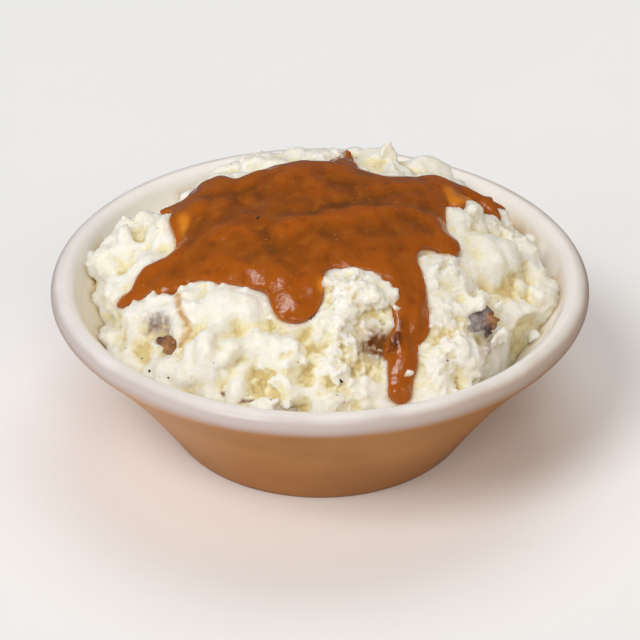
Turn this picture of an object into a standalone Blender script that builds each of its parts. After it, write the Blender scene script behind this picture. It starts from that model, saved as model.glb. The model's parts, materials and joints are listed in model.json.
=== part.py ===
"""A side of mashed potato with brown gravy, heaped in a flared stoneware bowl.

Metres, +Z up. The origin is the centre of the foot ring, on the table, and -Y is the front.
Nodes: bowl, mash, gravy, and a flake of potato skin at each place where skin shows.
"""

import math
import random

import bmesh
import bpy
from mathutils import Matrix, Vector, noise
from mathutils.bvhtree import BVHTree

MM = 0.001
GAP = 0.4 * MM  # what touching solids keep between them

# The bowl: a flared wall with a rolled lip, on a foot ring
RIM_RADIUS = 76 * MM
BOWL_HEIGHT = 48 * MM
LIP_RADIUS = 3.5 * MM  # half the thickness of the lip
LIP_START = -50  # where the lip's round leaves the outer wall, in degrees
LIP_END = 160  # where it meets the inner wall
WALL = 5 * MM
FLOOR = 5 * MM
FOOT_RADIUS = 42.5 * MM  # where the wall's line meets the table
FOOT_ROUND = 1.4 * MM
FOOT_RING_WIDTH = 6 * MM
FOOT_RECESS = 1.6 * MM
WALL_SLOPE = 0.645  # how much the wall widens for each unit of height, at the foot
FLARE = 5.2 * MM  # how much further it has widened by the lip
FLARE_POWER = 2.6
WALL_TOP = BOWL_HEIGHT - 6.7 * MM
INNER_ROUND = 9 * MM  # the round between the floor and the inner wall
BOWL_SEGMENTS = 56

# The mound of mash: a dome with broad swells and hollows, which its lumps stand on
DOME_CENTRE = Vector((0, 6 * MM))
DOME_RADIUS = 64 * MM
DOME_BASE = 41 * MM
DOME_RISE = 30 * MM
DOME_POWER = 2.4
DOME_SKIRT = 67 * MM  # how far out the dome's surface is carried before it drops to the floor
DOME_RINGS = 24
DOME_SPOKES = 96
CREVICE = 3 * MM  # how far below the dome its surface lies between lumps, where no gravy fills it
MASH_VOXEL = 1.1 * MM
MASH_TRIANGLES = 2500

# Swells and hollows of the dome, in millimetres: x, y, reach, rise
SWELLS = {
    "left shoulder": (-57, 8, 11, 6),
    "back left bay": (-46, 34, 13, -9),
    "left bay": (-68, -4, 7, -10),
    "left front bay": (-67, -15, 11, -14),
    "right front bay": (59, -27, 10, -12),
    "hollow under the knob": (14, -46, 6, -4),
    "left back hump": (-32, 15, 7, 2.5),
    "left hump": (-36, 3, 5, 2),
    "valley by the hump": (-19, 4, 6, -2),
    "crest": (-4, 12, 10, 1.5),
    "front bump": (-5, -13, 5, 1.5),
    "left front bump": (-27, -12, 5, 1.5),
    "right bump": (13, -8, 5, 1.2),
    "valley to the right": (8, -1, 4, -1),
    "right back hump": (38, 18, 7, 3),
    "right hump": (26, 6, 6, 1.5),
    "valley by the right lobe": (34, 3, 5, -1.5),
}

# Lumps that show, in millimetres: x, y, radius, and how far the top stands above the dome
LUMPS = {
    "left shoulder": ((-57, 5, 8.5, 3), (-51, 13, 7.5, 2.5), (-43, 3, 7, 3), (-54, -7, 7.5, 3.5)),
    "left shoulder's foot": ((-46, -9, 6.5, 3),),
    "left ridge": ((-50, -22, 6.5, 2.5), (-44, -24, 6.5, 3.5), (-56, -20, 6, 4), (-53, -30, 6, 1)),
    "ridge before the gravy": ((-33, -30, 7, 3.5), (-26, -32, 6.5, 3.5), (-20, -34, 6, 3)),
    "front left": ((-29, -42, 9, 4), (-18, -43, 7, 3), (-9, -45, 7, 3), (-37, -43, 6.5, 2)),
    "front foot": ((-21, -52, 6.5, 2.5), (-14, -57, 6, 3.5), (-9, -54, 6, 3), (3, -56, 5.5, 1.5)),
    "foot of the run": ((12, -53, 6, 2),),
    "knob": ((10, -33, 9.5, 4.5), (4, -41, 6.5, 3), (3, -50, 6, 1)),
    "right of the run": ((30, -21, 5.5, 1.5), (35, -27, 7.5, 3), (30, -45, 6, 1.5), (33, -51, 5.5, 1)),
    "right front": ((37, -39, 9, 3.5), (46, -33, 6.5, 1), (42, -44, 5, 1)),
    "right shoulder": ((48, -2, 9.5, 4), (55, 10, 7.5, 3.5), (61, 0, 7, 4), (54, -15, 8, 3), (64, -6, 5, 3)),
    "right nuggets": ((38, 4, 4.5, 4), (43, 12, 3.5, 4), (49, 22, 6, 4)),
    "back crest": ((-17, 37, 6, 1.5), (-9, 39, 6, 1.5), (-1, 38, 5, 1), (6, 39, 5, 1)),
    "back peak": ((18.5, 42, 4, 5), (13, 42, 4, 2.5)),
    "back right": ((31, 43, 8.5, 5.5), (38, 35, 6, 2)),
}
SMALL_LUMPS = 300  # further lumps scattered over the dome, and left out under the gravy
SMALL_LUMP_SPREAD = 66 * MM
SMALL_LUMP_RADII = (3, 5.5)  # millimetres
SMALL_LUMP_RISES = (-0.5, 1.8)
ROUGHNESS = 0.16  # unevenness of a lump, as a share of its radius
SEED = 7

# The gravy's pool and the runs that leave it, as chains of x, y and half width in millimetres
RUNS = {
    "pool": ((-31, 0, 12), (-18, -6, 16), (-6, -2, 25), (8, -4, 23), (23, 1, 13)),
    "front apron": ((-22, -12, 14), (-22, -18, 11), (-16, -23, 9)),
    "front drop": ((-8, -20, 10), (-6.5, -34.5, 7.6)),
    "over the knob": ((5, -14, 12), (12, -17, 10)),
    "left run": ((-30, -12, 14), (-40, -16, 6.5), (-47, -15.7, 4), (-55.5, -16, 1.8)),
    "left back lobe": ((-30, 7, 9.5), (-38, 12, 4.5), (-44, 14, 1.8)),
    "left back hump": ((-29, 4, 8), (-32, 17, 6.5)),
    "right run": ((18, -18, 8), (23.5, -30, 6), (25.5, -38, 5.2), (23.5, -46, 4.8), (21.5, -52.5, 3.8)),
    "under the knob": ((23, -44, 4), (17, -43.5, 2.5)),
    "right lobe": ((24, -5, 9), (34.5, -9.5, 5)),
    "right back run": ((24, 6, 11), (33, 18, 6.5), (41, 26, 4), (51, 27, 3.2)),
    "back rivulet": ((6, 19, 5), (7.5, 32, 2.4), (8, 40, 1.4)),
}
RUN_BLEND = 3 * MM  # the fillet where runs join
GRAVY_CELL = 1.3 * MM
GRAVY_DEPTH = 2.6 * MM
GRAVY_EDGE = 5 * MM  # how far in from its edge the gravy reaches its full depth
GRAVY_LEAST = 1 * MM  # its least depth over a lump
GRAVY_ROOT = 0.8 * MM  # how far its underside has sunk into the mash
GRAVY_VOXEL = 0.8 * MM
GRAVY_TRIANGLES = 1400

# Flakes of potato skin: x, y, length, width in millimetres, then how far it leans back and turns, in degrees
FLAKES = {
    "skin_left": (-41, -35, 9, 7, 50, -30),
    "skin_right": (43.5, -30, 10, 8, 45, 30),
    "skin_front": (-12, -61, 13, 4, 50, -10),
}
FLAKE_THICKNESS = 0.9 * MM
FLAKE_RISE = 0.6 * MM  # how far a flake's middle stands above the mash
FLAKE_BEND = 0.12  # how much a flake bows, as a share of its length

MASH_COLOUR = (0.86, 0.80, 0.62)
GRAVY_COLOUR = (0.30, 0.10, 0.02)
GLAZE_COLOUR = (0.80, 0.75, 0.70)
SKIN_COLOUR = (0.16, 0.08, 0.05)


def material(name, colour, roughness):
    made = bpy.data.materials.new(name)
    made.use_nodes = True
    shader = made.node_tree.nodes["Principled BSDF"]
    shader.inputs["Base Color"].default_value = (*colour, 1)
    shader.inputs["Roughness"].default_value = roughness
    shader.inputs["Metallic"].default_value = 0
    return made


def mesh_object(name, mesh, collection):
    made = bpy.data.objects.new(name, mesh)
    collection.objects.link(made)
    return made


def bmesh_object(name, bm, collection):
    mesh = bpy.data.meshes.new(name)
    bm.to_mesh(mesh)
    bm.free()
    return mesh_object(name, mesh, collection)


def modify(obj, kind, **settings):
    modifier = obj.modifiers.new(kind.title(), kind)
    for key, value in settings.items():
        setattr(modifier, key, value)
    return modifier


def bake(obj):
    """Replaces the object's mesh with what its modifiers make of it."""
    bpy.context.view_layer.update()
    graph = bpy.context.evaluated_depsgraph_get()
    mesh = bpy.data.meshes.new_from_object(obj.evaluated_get(graph))
    obj.modifiers.clear()
    obj.data = mesh


def decimate_to(obj, triangles):
    count = sum(len(polygon.vertices) - 2 for polygon in obj.data.polygons)
    modify(obj, "DECIMATE", ratio=min(1, triangles / count), use_collapse_triangulate=True)
    bake(obj)


def cut(obj, other, operation="DIFFERENCE"):
    modify(obj, "BOOLEAN", operation=operation, object=other, solver="EXACT", use_self=True)
    bake(obj)


def keep_largest_island(obj):
    """Removes the crumbs that a cut leaves beside the main body."""
    bm = bmesh.new()
    bm.from_mesh(obj.data)
    left, islands = set(bm.verts), []
    while left:
        island, edge_of_it = set(), [left.pop()]
        while edge_of_it:
            vertex = edge_of_it.pop()
            island.add(vertex)
            near = {edge.other_vert(vertex) for edge in vertex.link_edges} & left
            left -= near
            edge_of_it.extend(near)
        islands.append(island)
    islands.sort(key=len)
    for island in islands[:-1]:
        bmesh.ops.delete(bm, geom=list(island), context="VERTS")
    bm.to_mesh(obj.data)
    bm.free()


def inflated(obj, amount, collection):
    """A cutter: the object grown by an amount along its normals."""
    grown = mesh_object(obj.name + "_grown", obj.data.copy(), collection)
    grown.matrix_world = obj.matrix_world
    modify(grown, "DISPLACE", strength=amount, mid_level=0)
    bake(grown)
    return grown


def turned(name, profile, segments, collection):
    """A solid of revolution from (radius, height) points that run down its outer side."""
    mesh = bpy.data.meshes.new(name)
    points = [(radius, 0, height) for radius, height in profile]
    mesh.from_pydata(points, [(i, i + 1) for i in range(len(points) - 1)], [])
    made = mesh_object(name, mesh, collection)
    modify(made, "SCREW", axis="Z", steps=segments, render_steps=segments, use_merge_vertices=True,
           merge_threshold=1e-6, use_smooth_shade=True)
    return made


def arc(centre_radius, centre_height, radius, start, end, steps):
    """Points on a round of a profile, from start to end in degrees, with 0 pointing outwards."""
    turns = [math.radians(start + (end - start) * i / steps) for i in range(steps + 1)]
    return [(centre_radius + radius * math.cos(a), centre_height + radius * math.sin(a)) for a in turns]


def steps_between(start, end, count):
    return [start + (end - start) * i / count for i in range(count + 1)]


def wall_radius(height):
    """The bowl's outer radius at a height."""
    share = max(height, 0) / (BOWL_HEIGHT - 2 * LIP_RADIUS)
    return FOOT_RADIUS + WALL_SLOPE * height + FLARE * share**FLARE_POWER


def inner_radius(height, clearance=0.0):
    """The bowl's inner radius at a height, less a clearance, with its round at the floor."""
    slope = (wall_radius(height + MM) - wall_radius(height)) / MM
    radius = wall_radius(height) - (WALL + clearance) * math.hypot(1, slope)
    depth = (height - FLOOR - clearance) / INNER_ROUND
    if depth < 1:
        radius -= INNER_ROUND * (1 - math.sqrt(max(0, 1 - (1 - depth) ** 2)))
    return radius


def inner_line(clearance=0.0):
    """Points up the inner wall from the floor's edge, kept a clearance inside the bowl."""
    low = FLOOR + clearance
    heights = [low + INNER_ROUND * (1 - math.cos(math.radians(a))) for a in (0, 35, 65, 90)]
    heights += steps_between(low + INNER_ROUND, WALL_TOP, 3)[1:]
    return [(inner_radius(z, clearance), z) for z in heights]


def bowl(collection):
    """From the floor's centre up the inside, over the lip and down the outside to the foot."""
    profile = [(0, FLOOR)] + inner_line()
    profile += arc(RIM_RADIUS - LIP_RADIUS, BOWL_HEIGHT - LIP_RADIUS, LIP_RADIUS, LIP_END, LIP_START, 8)
    profile += [(wall_radius(z), z) for z in steps_between(WALL_TOP, FOOT_ROUND, 4)]
    foot = FOOT_RADIUS - 0.6 * FOOT_ROUND
    profile += [(FOOT_RADIUS + 0.1 * FOOT_ROUND, 0.3 * FOOT_ROUND), (foot, 0)]
    profile += [(foot - FOOT_RING_WIDTH, 0), (foot - FOOT_RING_WIDTH - FOOT_RECESS, FOOT_RECESS)]
    profile += [(0, FOOT_RECESS)]
    made = turned("bowl", profile, BOWL_SEGMENTS, collection)
    made.data.materials.append(material("stoneware_glaze", GLAZE_COLOUR, 0.3))
    return made


def room(collection):
    """The space that the mash may fill: the bowl's inside, and what is above its lip."""
    top, lip_inside = 110 * MM, RIM_RADIUS - 2 * LIP_RADIUS - 2 * GAP
    profile = [(0, top), (RIM_RADIUS, top), (lip_inside, BOWL_HEIGHT), (lip_inside, BOWL_HEIGHT - LIP_RADIUS)]
    profile += inner_line(GAP)[::-1] + [(0, FLOOR + GAP)]
    return turned("room", profile, BOWL_SEGMENTS, collection)


def dome_height(x, y):
    reach = (Vector((x, y)) - DOME_CENTRE).length / DOME_RADIUS
    height = DOME_BASE + DOME_RISE * (1 - reach**DOME_POWER)
    for swell_x, swell_y, swell_reach, rise in SWELLS.values():
        away = math.hypot(x - swell_x * MM, y - swell_y * MM) / (swell_reach * MM)
        height += rise * MM * math.exp(-(away**2))
    return height


def add_dome(bm):
    """The solid under the dome: rings of points on its surface, then a ring and a point at the floor."""
    rings = []
    for ring in range(1, DOME_RINGS + 2):
        reach = DOME_SKIRT * min(ring, DOME_RINGS) / DOME_RINGS
        points = []
        for spoke in range(DOME_SPOKES):
            angle = math.tau * spoke / DOME_SPOKES
            x, y = DOME_CENTRE.x + reach * math.cos(angle), DOME_CENTRE.y + reach * math.sin(angle)
            sunk = dome_height(x, y) - min(CREVICE, max(0, gravy_reach(x, y) / 2))
            points.append(bm.verts.new((x, y, sunk if ring <= DOME_RINGS else 2 * MM)))
        rings.append(points)
    top = bm.verts.new((*DOME_CENTRE, dome_height(*DOME_CENTRE)))
    bottom = bm.verts.new((*DOME_CENTRE, 2 * MM))
    for spoke in range(DOME_SPOKES):
        after = (spoke + 1) % DOME_SPOKES
        bm.faces.new((top, rings[0][spoke], rings[0][after]))
        bm.faces.new((bottom, rings[-1][after], rings[-1][spoke]))
        for inner, outer in zip(rings, rings[1:]):
            bm.faces.new((inner[spoke], outer[spoke], outer[after], inner[after]))


def add_lump(bm, x, y, radius, top):
    """One uneven lump whose top is at a height, turned and stretched by chance."""
    chance = random.Random(f"{x:.4f} {y:.4f}")
    turn = Matrix.Rotation(chance.uniform(0, math.tau), 4, "Z")
    tilt = Matrix.Rotation(chance.uniform(-0.5, 0.5), 4, "X")
    stretch = Matrix.Diagonal((chance.uniform(0.85, 1.2), chance.uniform(0.8, 1.1), 0.85, 1))
    offset = Vector([chance.uniform(-50, 50) for _ in range(3)])
    ball = bmesh.ops.create_icosphere(bm, subdivisions=3, radius=1)
    place = Matrix.Translation((x, y, top - 0.85 * radius))
    for vertex in ball["verts"]:
        swell = 2 * noise.noise(vertex.co * 1.4 + offset) + noise.noise(vertex.co * 3.1 + offset)
        vertex.co = place @ turn @ tilt @ stretch @ (vertex.co * radius * (1 + ROUGHNESS * swell))


def mash(collection, helpers):
    chance = random.Random(SEED)
    bm = bmesh.new()
    add_dome(bm)
    for lumps in LUMPS.values():
        for x, y, radius, rise in lumps:
            top = dome_height(x * MM, y * MM) + rise * MM
            add_lump(bm, x * MM, y * MM, radius * MM, top)
    for _ in range(SMALL_LUMPS):
        angle, reach = chance.uniform(0, math.tau), SMALL_LUMP_SPREAD * math.sqrt(chance.random())
        x, y = DOME_CENTRE.x + reach * math.cos(angle), DOME_CENTRE.y + reach * math.sin(angle)
        top = dome_height(x, y) + chance.uniform(*SMALL_LUMP_RISES) * MM
        if gravy_reach(x, y) > 2 * MM:
            add_lump(bm, x, y, chance.uniform(*SMALL_LUMP_RADII) * MM, top)
    made = bmesh_object("mash", bm, collection)
    modify(made, "REMESH", mode="VOXEL", voxel_size=MASH_VOXEL, adaptivity=0)
    modify(made, "SMOOTH", factor=0.5, iterations=2)
    bake(made)
    decimate_to(made, MASH_TRIANGLES)
    cut(made, room(helpers), "INTERSECT")
    made.data.materials.append(material("mashed_potato", MASH_COLOUR, 0.6))
    return made


def chain_distance(x, y, chain):
    """How far a point is outside a tapering chain of x, y and half width, negative inside it."""
    nearest = math.inf
    point = Vector((x, y))
    for (ax, ay, aw), (bx, by, bw) in zip(chain, chain[1:]):
        start, along = Vector((ax, ay)) * MM, Vector((bx - ax, by - ay)) * MM
        share = min(1, max(0, (point - start).dot(along) / along.length_squared))
        width = (aw + (bw - aw) * share) * MM
        nearest = min(nearest, (point - start - along * share).length - width)
    return nearest


def gravy_reach(x, y):
    """How far a point of the plan is outside the gravy, with a fillet where runs join."""
    reach = math.inf
    for chain in RUNS.values():
        other = chain_distance(x, y, chain)
        mix = max(0, RUN_BLEND - abs(reach - other)) / RUN_BLEND if reach < math.inf else 0
        reach = min(reach, other) - mix * mix * RUN_BLEND / 4
    return reach


def gravy(collection, surface):
    """A sheet laid on the mash and sunk into it, deepest away from its edges."""
    half = 60 * MM
    cells = round(2 * half / GRAVY_CELL)
    bm = bmesh.new()
    bmesh.ops.create_grid(bm, x_segments=cells, y_segments=cells, size=half)
    outside = [v for v in bm.verts if gravy_reach(v.co.x, v.co.y) > 0.4 * GRAVY_CELL]
    bmesh.ops.delete(bm, geom=outside, context="VERTS")
    for vertex in bm.verts:
        if vertex.is_boundary:
            pull_to_edge(vertex)
        vertex.co.z = height_on(surface, vertex.co.x, vertex.co.y)
    made = bmesh_object("gravy", bm, collection)
    lumpy = [vertex.co.z for vertex in made.data.vertices]
    modify(made, "SMOOTH", factor=0.5, iterations=12, use_x=False, use_y=False)
    bake(made)
    for vertex, height in zip(made.data.vertices, lumpy):
        inwards = max(0, -gravy_reach(vertex.co.x, vertex.co.y)) / GRAVY_EDGE
        depth = math.sin(math.pi / 2 * min(1, 0.25 + 0.75 * inwards))
        vertex.co.z = max(vertex.co.z + GRAVY_DEPTH * depth, height + GRAVY_LEAST * depth)
    modify(made, "SOLIDIFY", thickness=GRAVY_DEPTH + GRAVY_ROOT, offset=-1)
    modify(made, "REMESH", mode="VOXEL", voxel_size=GRAVY_VOXEL, adaptivity=0)
    modify(made, "SMOOTH", factor=0.5, iterations=4)
    bake(made)
    decimate_to(made, GRAVY_TRIANGLES)
    made.data.materials.append(material("brown_gravy", GRAVY_COLOUR, 0.2))
    return made


def pull_to_edge(vertex):
    """Moves a point in plan onto the gravy's outline."""
    step = 0.1 * MM
    reach = gravy_reach(vertex.co.x, vertex.co.y)
    slope_x = (gravy_reach(vertex.co.x + step, vertex.co.y) - reach) / step
    slope_y = (gravy_reach(vertex.co.x, vertex.co.y + step) - reach) / step
    vertex.co.x -= reach * slope_x
    vertex.co.y -= reach * slope_y


def height_on(surface, x, y):
    return surface.ray_cast(Vector((x, y, 110 * MM)), Vector((0, 0, -1)))[0].z


def flake(name, x, y, length, width, lean, turn, collection, surface):
    """A bowed flake of skin that lies on the mash at x, y."""
    bm = bmesh.new()
    bmesh.ops.create_grid(bm, x_segments=5, y_segments=3, size=0.5)
    for vertex in bm.verts:
        across, along = vertex.co.x * 2, vertex.co.y * 2
        rounding = 1 - 0.22 * across**2 * along**2
        ragged = 1 + 0.12 * noise.noise(Vector((across * 2, along * 2, length)))
        vertex.co.x *= length * MM * rounding * ragged
        vertex.co.y *= width * MM * rounding * ragged
        vertex.co.z = -FLAKE_BEND * length * MM * (across**2 + along**2)
    made = bmesh_object(name, bm, collection)
    made.location = (x * MM, y * MM, height_on(surface, x * MM, y * MM) + FLAKE_RISE)
    made.rotation_euler = (math.radians(lean), 0, math.radians(turn))
    modify(made, "SOLIDIFY", thickness=FLAKE_THICKNESS, offset=0)
    modify(made, "TRIANGULATE")
    bake(made)
    made.data.materials.append(material(name, SKIN_COLOUR, 0.5))
    return made


def main():
    for obj in list(bpy.data.objects):
        bpy.data.objects.remove(obj)
    parts = bpy.data.collections.new("mashed_potato_side")
    helpers = bpy.data.collections.new("cutters")
    helpers.hide_render = True
    for collection in (parts, helpers):
        bpy.context.scene.collection.children.link(collection)
    bowl(parts)
    heap = mash(parts, helpers)
    surface = BVHTree.FromObject(heap, bpy.context.evaluated_depsgraph_get())
    toppings = [flake(name, *values, parts, surface) for name, values in FLAKES.items()]
    toppings.append(gravy(parts, surface))
    for topping in toppings:
        cut(heap, inflated(topping, GAP, helpers))
    keep_largest_island(heap)
    for helper in helpers.objects:
        helper.hide_render = True
        helper.display_type = "WIRE"


main()
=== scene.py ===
"""Looks of the mashed potato side: a glazed bowl, lumpy mash, glossy gravy, potato skin, ground pepper.

Metres, in the frame's own axes: +Z up, and -Y towards the viewer. Lengths marked MM are in millimetres,
and so are the tables of places: x, y, z and a reach or a radius, and then a strength where it isn't 1.
"""

import json
import math

import bmesh
import bpy
import numpy as np
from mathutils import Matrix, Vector
from mathutils.bvhtree import BVHTree
from mathutils.kdtree import KDTree

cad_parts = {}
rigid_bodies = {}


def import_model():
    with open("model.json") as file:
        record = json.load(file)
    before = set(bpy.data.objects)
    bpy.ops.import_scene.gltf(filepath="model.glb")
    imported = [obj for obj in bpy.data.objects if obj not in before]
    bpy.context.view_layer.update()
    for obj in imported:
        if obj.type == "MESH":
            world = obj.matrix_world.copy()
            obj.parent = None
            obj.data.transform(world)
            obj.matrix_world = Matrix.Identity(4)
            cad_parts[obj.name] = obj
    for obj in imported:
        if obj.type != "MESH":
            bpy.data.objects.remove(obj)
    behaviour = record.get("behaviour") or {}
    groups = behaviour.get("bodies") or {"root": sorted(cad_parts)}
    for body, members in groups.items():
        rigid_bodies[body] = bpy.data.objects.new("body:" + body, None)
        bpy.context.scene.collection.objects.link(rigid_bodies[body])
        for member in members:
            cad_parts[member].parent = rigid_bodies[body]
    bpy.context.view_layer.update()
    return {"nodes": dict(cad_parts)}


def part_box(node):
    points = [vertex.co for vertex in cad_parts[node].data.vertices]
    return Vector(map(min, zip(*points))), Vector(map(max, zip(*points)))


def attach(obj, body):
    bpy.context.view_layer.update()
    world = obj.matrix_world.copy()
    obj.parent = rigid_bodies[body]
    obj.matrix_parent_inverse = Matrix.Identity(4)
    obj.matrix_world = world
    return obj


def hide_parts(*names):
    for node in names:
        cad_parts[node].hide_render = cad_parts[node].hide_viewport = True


MM = 0.001

# The camera: level with X, looking down at the heap from the front
CAMERA_ELEVATION = 31.74  # degrees
CAMERA_DISTANCE = 850 * MM
CAMERA_AIM = 32.2 * MM  # the height it looks at, over the foot's centre
CAMERA_LENS = 167.6  # millimetres
CAMERA_SENSOR = 36  # millimetres across
CAMERA_NEAREST = 10 * MM

# The bowl's profile
LIP_RADIUS = 3.5 * MM
LIP_OUTER_END = -50  # degrees round the lip's middle, with 0 outwards and 90 up
LIP_INNER_END = 160
WALL_TOP = 6.7 * MM  # how far below the bowl's top the wall runs into the lip
WALL = 5 * MM
FLOOR = 5 * MM
FOOT_RADIUS = 42.5 * MM
FOOT_ROUND = 1.4 * MM
FOOT_RING_WIDTH = 6 * MM
FOOT_RECESS = 1.6 * MM
WALL_SLOPE = 0.645
FLARE = 5.2 * MM
FLARE_POWER = 2.6
INNER_ROUND = 9 * MM
INNER_ROUND_STEPS = 9
INNER_WALL_STEPS = 36
LIP_STEPS = 30
OUTER_WALL_STEPS = 22
BOWL_SEGMENTS = 240

# The glazes on the outside of the bowl, by height
WHITE_GLAZE = (41.4 * MM, 44.5 * MM)  # from all clay to all white glaze
# On the lip's outer side the clay tints the thin glaze, and painted shade darkens it too
THIN_SHADED_GLAZE = (43 * MM, 46 * MM)  # where the clay still tints it
FULL_GLAZE = (46.3 * MM, 48.7 * MM)  # where it turns as white as inside

# The mash
CORE_VOXEL = 0.8 * MM
CORE_SMOOTHING = 12
MASH_VOXEL = 0.5 * MM
MASH_SMOOTHING = 2
MASH_TRIANGLES = 190_000
GRAVY_BED = 1.8 * MM  # how far below the gravy's top the mash under it lies
CRUMBS = 1500
CRUMB_TRIES = 20 * CRUMBS
CRUMB_RADII = (0.55, 1.8)  # millimetres
CRUMB_CLEARANCE = 0.5 * MM  # from the gravy
EDGE_CRUMBS = 320
EDGE_CRUMB_TRIES = 60_000
EDGE_CRUMB_RADII = (0.4, 0.95)  # millimetres
EDGE_CRUMB_BAND = (0.1 * MM, 0.8 * MM)  # distances to the gravy's edge
EDGE_CRUMBS_LOWEST = 42 * MM
SMOOTH_EDGE = (51, 20, 57, 8)  # where the gravy's edge has none
LOWEST_SEEN = 30 * MM  # below this height the mash lies against the bowl

# The hem: balls that fill the corner between the mash and the bowl's wall
HEM_RADIUS = 1.8 * MM
HEM_TURN = 1.2  # degrees from one line of balls to the next
HEM_HEIGHTS = np.arange(43, 28, -0.7) * MM
HEM_TOUCH = 0.7 * MM  # up to this distance the mash touches the wall
HEM_INSET = 0.6 * MM  # how far in from the wall the mash is looked for above

# The gravy
GRAVY_VOXEL = 0.5 * MM
GRAVY_SMOOTHING = 10
GRAVY_SWELL = 0.2 * MM
PUFF_SIZE = 16 * MM
PUFF_HEIGHT = 0.16 * MM
THICK_GRAVY = 2.5 * MM  # from this depth on, no mash shines through
THIN_ROUNDS = 6  # of smoothing
EVENING_ROUNDS = 40
VALLEY_ROUNDS = 120
VALLEY_DEPTH = 0.5 * MM

# The skins
SKIN_VOXEL = 0.3 * MM
SKIN_SMOOTHING = 8

# The pepper
PEPPER_ON_MASH = 70
PEPPER_ON_GRAVY = 8
PEPPER_TRIES = (4000, 200)  # on the mash and on the gravy
PEPPER_LEAST = 0.1 * MM  # the least radius
PEPPER_SPREAD = 2.2  # the largest radius over the least
PEPPER_LOWEST = 41 * MM
PEPPER_CLEARANCE = 1 * MM  # from the gravy's edge

SEED = 11
COVER_REACH = 8 * MM  # how far above a place a surface can be that covers it

# Waves on the surfaces: length and height in millimetres, and seed
MASH_WAVES = ((1.4, 0.09, 51), (3, 0.07, 52))
GRAVY_WAVES = ((12, 0.26, 21), (6, 0.07, 22))
SKIN_WAVES = ((3.4, 0.35, 81), (1.4, 0.12, 82))


# Meshes

def link(name, data):
    """A new object in the scene, with a mesh, light or camera."""
    made = bpy.data.objects.new(name, data)
    bpy.context.scene.collection.objects.link(made)
    return made


def link_bmesh(name, bm):
    mesh = bpy.data.meshes.new(name)
    bm.to_mesh(mesh)
    bm.free()
    return link(name, mesh)


def link_faces(name, points, faces):
    mesh = bpy.data.meshes.new(name)
    mesh.from_pydata(points, [], faces)
    return link(name, mesh)


def copy_of(node, name):
    """A loose copy of a frame node, with its split corners joined."""
    bm = bmesh.new()
    bm.from_mesh(frame["nodes"][node].data)
    bmesh.ops.remove_doubles(bm, verts=bm.verts, dist=1e-6)
    return link_bmesh(name, bm)


def joined(name, objects):
    """One object with all their faces, in their place."""
    bm = bmesh.new()
    for obj in objects:
        bm.from_mesh(obj.data)
        bpy.data.objects.remove(obj)
    return link_bmesh(name, bm)


def modify(obj, kind, **settings):
    modifier = obj.modifiers.new(kind.title(), kind)
    for key, value in settings.items():
        setattr(modifier, key, value)


def bake(obj):
    bpy.context.view_layer.update()
    graph = bpy.context.evaluated_depsgraph_get()
    mesh = bpy.data.meshes.new_from_object(obj.evaluated_get(graph))
    obj.modifiers.clear()
    obj.data = mesh


def remesh(obj, voxel, smoothing):
    modify(obj, "REMESH", mode="VOXEL", voxel_size=voxel, adaptivity=0)
    modify(obj, "SMOOTH", factor=0.5, iterations=smoothing)
    bake(obj)


def rows_of(items, kind, width, number):
    """One attribute of all the items of a mesh, in rows."""
    values = np.empty(width * len(items), number)
    items.foreach_get(kind, values)
    return values.reshape(-1, width)


def points_of(obj):
    return rows_of(obj.data.vertices, "co", 3, np.float32).astype(float)


def normals_of(obj):
    return rows_of(obj.data.vertices, "normal", 3, np.float32).astype(float)


def move_points(obj, points):
    obj.data.vertices.foreach_set("co", points.astype(np.float32).ravel())
    obj.data.update()


def set_attribute(obj, name, values):
    attribute = obj.data.attributes.new(name, "FLOAT", "POINT")
    attribute.data.foreach_set("value", np.asarray(values, np.float32))


def averager(obj):
    """A function that replaces each point's values by the mean of its neighbours'."""
    a, b = rows_of(obj.data.edges, "vertices", 2, np.int32).T
    total = len(obj.data.vertices)
    count = np.maximum(1, np.bincount(a, minlength=total) + np.bincount(b, minlength=total))

    def average(values):
        sums = [np.bincount(a, row[b], total) + np.bincount(b, row[a], total) for row in values.T]
        return np.stack([row / count for row in sums], 1)

    return average


def smooth_out(obj, share, rounds):
    """Evens out the surface, by a share at each point."""
    average, points = averager(obj), points_of(obj)
    for _ in range(rounds):
        points = points + 0.5 * share[:, None] * (average(points) - points)
    move_points(obj, points)


def hollowness(obj, rounds):
    """How far each point lies below its smoothed surroundings, in metres."""
    average, points = averager(obj), points_of(obj)
    smooth = points
    for _ in range(rounds):
        smooth = average(smooth)
    return ((smooth - points) * normals_of(obj)).sum(1)


def tree_of(obj):
    return BVHTree.FromObject(obj, bpy.context.evaluated_depsgraph_get())


def distance_to(tree, points, most):
    """Each point's distance to a surface, up to a most."""
    found = [tree.find_nearest(Vector(point), most)[3] for point in points]
    return np.array([most if distance is None else distance for distance in found])


def covers(tree, place):
    """Whether the surface lies above the place, within reach."""
    return tree.ray_cast(place, Vector((0, 0, 1)), COVER_REACH)[0] is not None


def distance_out_of(tree, points, most):
    """Like distance_to, but 0 for a point that is covered."""
    start = Vector((0, 0, -0.5 * MM))
    covered = [covers(tree, Vector(point) + start) for point in points]
    return np.where(covered, 0, distance_to(tree, points, most))


def dress(obj, material):
    obj.data.shade_smooth()
    obj.data.materials.append(material)


# Unevenness

FIELD_WAVES = 18


def field(points, size, seed):
    """A smooth random value with mean 0 and spread 1: waves in all directions, about a size long."""
    chance = np.random.default_rng(seed)
    ways = chance.normal(size=(FIELD_WAVES, 3))
    lengths = np.linalg.norm(ways, axis=1)[:, None]
    ways *= math.tau / size * chance.uniform(0.7, 1.3, (FIELD_WAVES, 1)) / lengths
    turns = chance.uniform(0, math.tau, FIELD_WAVES)
    return np.sin(points @ ways.T + turns).sum(1) * math.sqrt(2 / FIELD_WAVES)


def waves(points, rows):
    """The sum of a table's waves, in metres."""
    return MM * sum(height * field(points, size * MM, seed) for size, height, seed in rows)


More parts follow.
